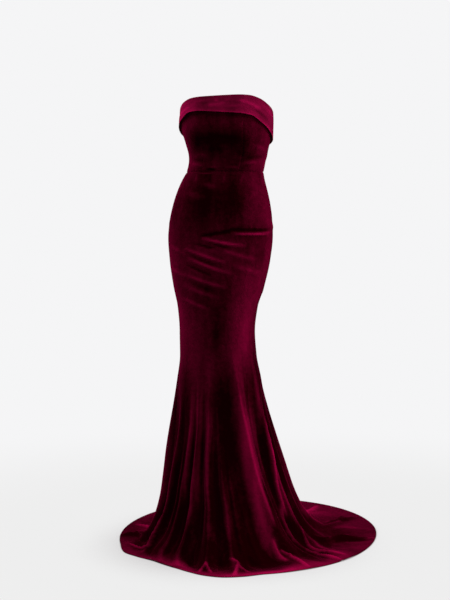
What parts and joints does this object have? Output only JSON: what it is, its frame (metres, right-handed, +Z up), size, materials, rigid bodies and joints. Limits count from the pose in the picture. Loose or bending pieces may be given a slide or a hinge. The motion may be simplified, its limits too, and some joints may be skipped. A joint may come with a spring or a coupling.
{
  "type": "strapless evening gown",
  "caption": "Strapless velvet evening gown in its worn, hollow shape: fitted bodice with a folded neckline band, skirt close to the knee, round train on the floor, back zip.",
  "frame": {"origin": "where the wearer's bust holds the gown up, in the middle of the bodice's hollow, 1330 mm above the floor that the train lies on", "axes": "+Z up, the front faces -Y, +X to the wearer's left"},
  "size_m": [0.8268, 1.1105, 1.4027],
  "materials": {
    "velvet": "burgundy stretch velvet with a short pile",
    "zip_tape": "woven tape with a nylon coil, burgundy",
    "zip_metal": "burgundy enamel on die-cast zinc"
  },
  "bodies": {
    "gown": {"bodice_front_centre": "velvet", "bodice_front_left": "velvet", "bodice_front_right": "velvet", "bodice_back_left": "velvet", "bodice_back_right": "velvet", "band_front": "velvet", "band_back_left": "velvet", "band_back_right": "velvet", "skirt_front": "velvet", "skirt_back_left": "velvet", "skirt_back_right": "velvet", "zip_chain": "zip_tape", "zip_slider": "zip_metal"},
    "pull": {"zip_pull": "zip_metal"}
  },
  "joints": [
    {"name": "zip_pull_swing", "type": "hinge", "parent": "gown", "child": "pull", "pos_m": [0.00626, 0.09986, -0.037], "axis": [1, 0, 0], "range_deg": [0, 150]}
  ]
}
